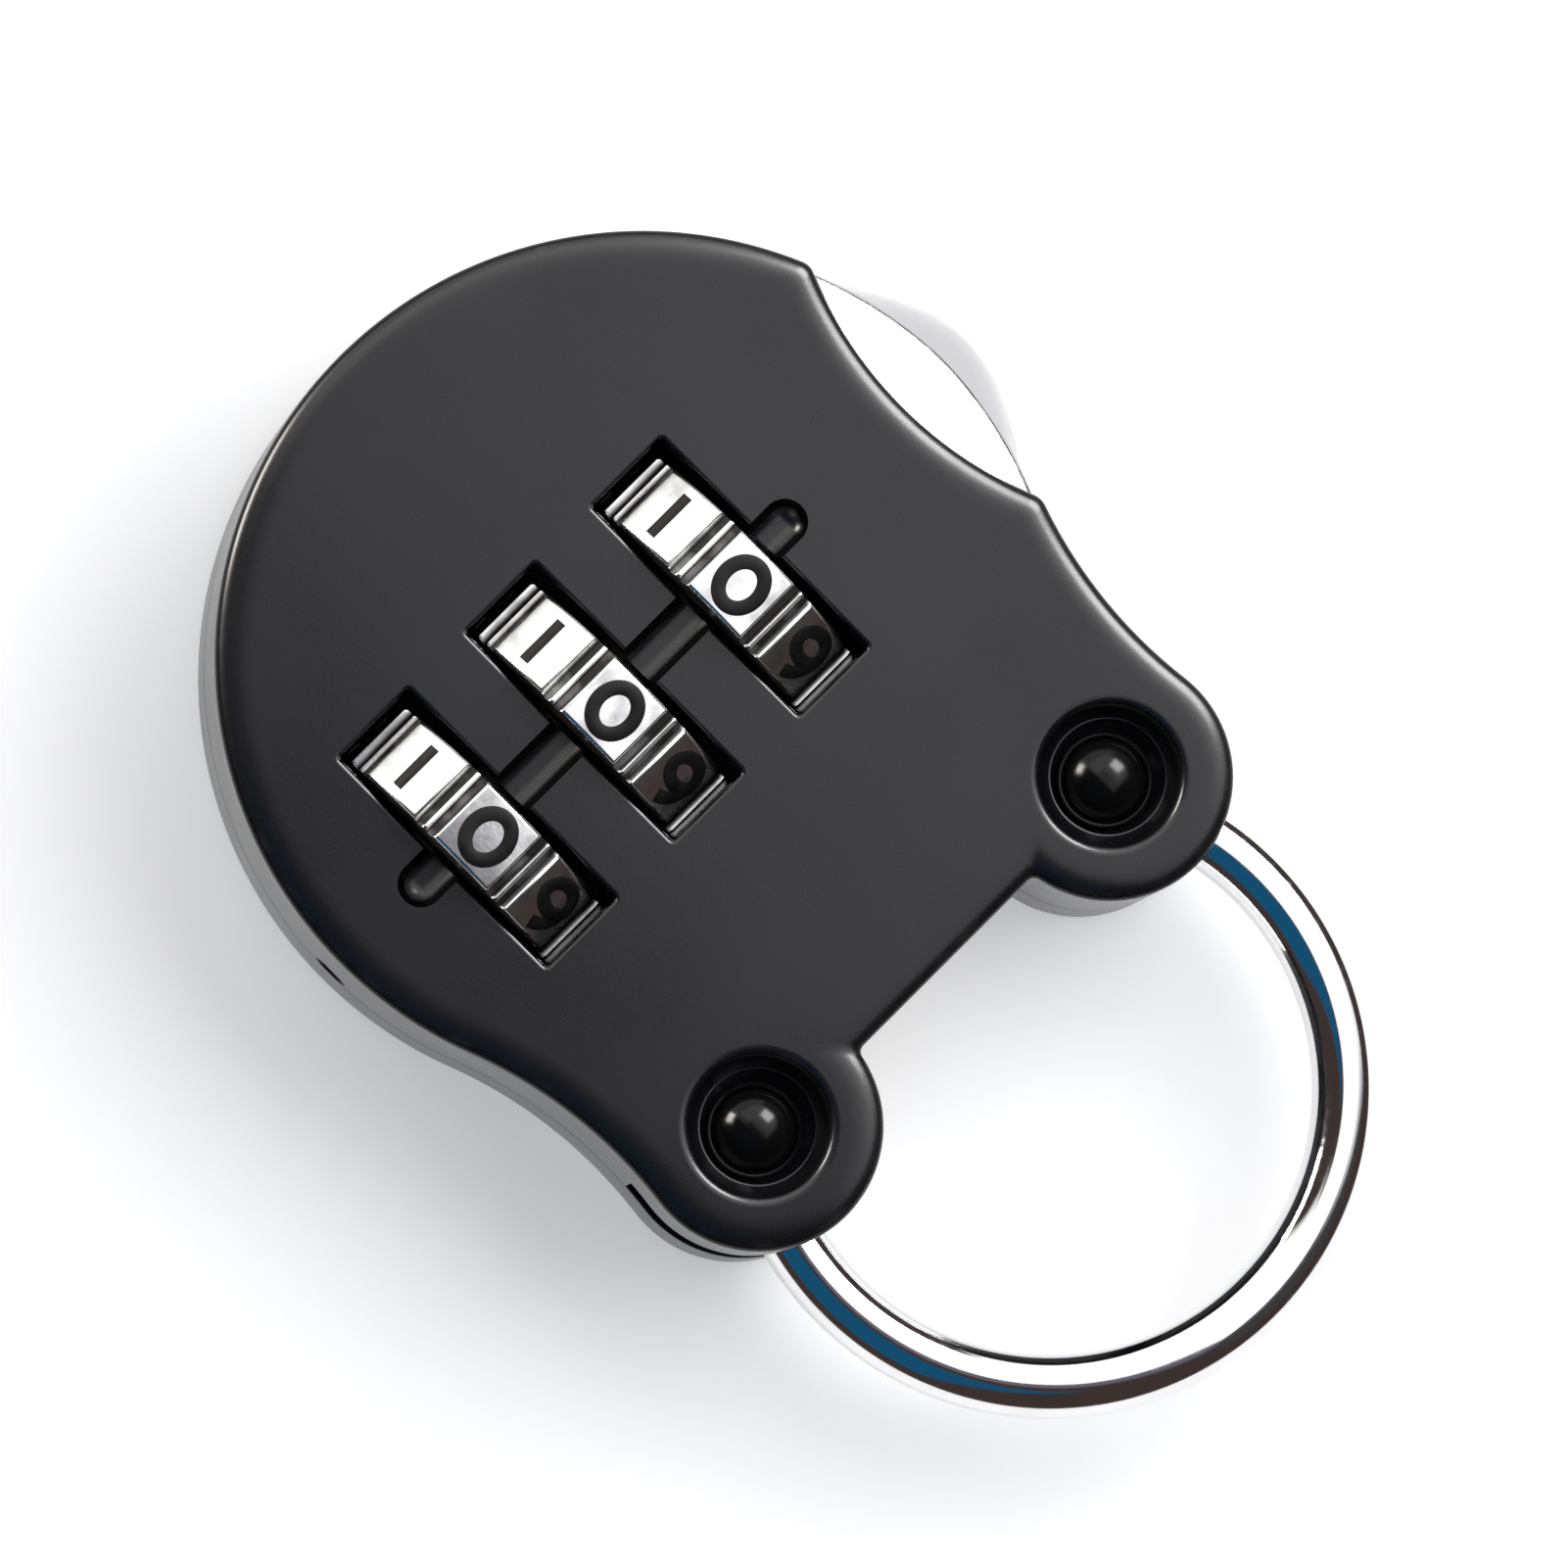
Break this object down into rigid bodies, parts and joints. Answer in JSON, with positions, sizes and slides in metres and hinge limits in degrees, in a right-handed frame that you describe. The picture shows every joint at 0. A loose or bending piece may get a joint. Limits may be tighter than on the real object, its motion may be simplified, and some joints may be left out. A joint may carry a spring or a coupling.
{
  "type": "luggage combination padlock",
  "caption": "Round-bodied luggage padlock: number wheels set the code, a side push button frees a ring shackle that swings open on its hinge rivet.",
  "frame": {"origin": "on the flat back face of the rear cover, on the case's symmetry line, under the number wheels' axis", "axes": "+X from the round end to the ring shackle, +Y towards the push button along the wheel axis, +Z out of the front face through the number windows"},
  "size_m": [0.0551, 0.0368, 0.0147],
  "materials": {
    "black_enamel": "satin black enamel on die-cast zinc",
    "black_rivet": "gloss black",
    "chrome": "polished chrome plate",
    "bright_button": "bright satin chrome plate",
    "steel": "zinc-plated steel",
    "spring_steel": "bright spring steel",
    "brass": "plain brass"
  },
  "bodies": {
    "case": {"front_shell": "black_enamel", "rear_cover": "black_enamel", "hinge_rivet": "black_rivet", "latch_rivet": "black_rivet", "case_screw_lower": "steel", "case_screw_upper": "steel", "hinge_washer_front": "brass", "hinge_washer_rear": "brass", "bearing_plate_button": "steel", "bearing_plate_reset": "steel", "detent_spring": "spring_steel", "button_spring": "spring_steel", "reset_spring": "spring_steel"},
    "shackle": {"shackle_ring": "chrome"},
    "button": {"release_button": "bright_button", "spindle": "steel", "spindle_clip": "spring_steel", "latch_arm": "steel"},
    "wheel_1": {"number_wheel_1": "chrome"},
    "sleeve_1": {"clutch_sleeve_1": "brass"},
    "wheel_2": {"number_wheel_2": "chrome"},
    "sleeve_2": {"clutch_sleeve_2": "brass"},
    "wheel_3": {"number_wheel_3": "chrome"},
    "sleeve_3": {"clutch_sleeve_3": "brass"},
    "reset": {"reset_pin": "steel"}
  },
  "joints": [
    {"name": "shackle_hinge", "type": "hinge", "parent": "case", "child": "shackle", "pos_m": [0.0166, -0.0101, 0.00655], "axis": [0, 0, -1], "range_deg": [0, 70]},
    {"name": "button_slide", "type": "slide", "parent": "case", "child": "button", "axis": [0, -1, 0], "range_m": [0, 0.0012], "stiffness_N_per_m": 500, "springref_m": -0.002, "deforming": ["button_spring"]},
    {"name": "reset_slide", "type": "slide", "parent": "case", "child": "reset", "axis": [0, 1, 0], "range_m": [0, 0.0009], "stiffness_N_per_m": 80, "springref_m": -0.002, "deforming": ["reset_spring"]},
    {"name": "wheel_1_turn", "type": "hinge", "parent": "case", "child": "wheel_1", "pos_m": [0, 0.0047, 0.0079], "axis": [0, 1, 0], "continuous": true},
    {"name": "sleeve_1_slide", "type": "slide", "parent": "wheel_1", "child": "sleeve_1", "axis": [0, 1, 0], "range_m": [0, 0.0009]},
    {"name": "wheel_2_turn", "type": "hinge", "parent": "case", "child": "wheel_2", "pos_m": [0, -0.00255, 0.0079], "axis": [0, 1, 0], "continuous": true},
    {"name": "sleeve_2_slide", "type": "slide", "parent": "wheel_2", "child": "sleeve_2", "axis": [0, 1, 0], "range_m": [0, 0.0009]},
    {"name": "wheel_3_turn", "type": "hinge", "parent": "case", "child": "wheel_3", "pos_m": [0, -0.0098, 0.0079], "axis": [0, 1, 0], "continuous": true},
    {"name": "sleeve_3_slide", "type": "slide", "parent": "wheel_3", "child": "sleeve_3", "axis": [0, 1, 0], "range_m": [0, 0.0009]}
  ],
  "couplings": [
    {"joint": "sleeve_1_slide", "follows": "reset_slide", "ratio": 1},
    {"joint": "sleeve_2_slide", "follows": "reset_slide", "ratio": 1},
    {"joint": "sleeve_3_slide", "follows": "reset_slide", "ratio": 1}
  ]
}
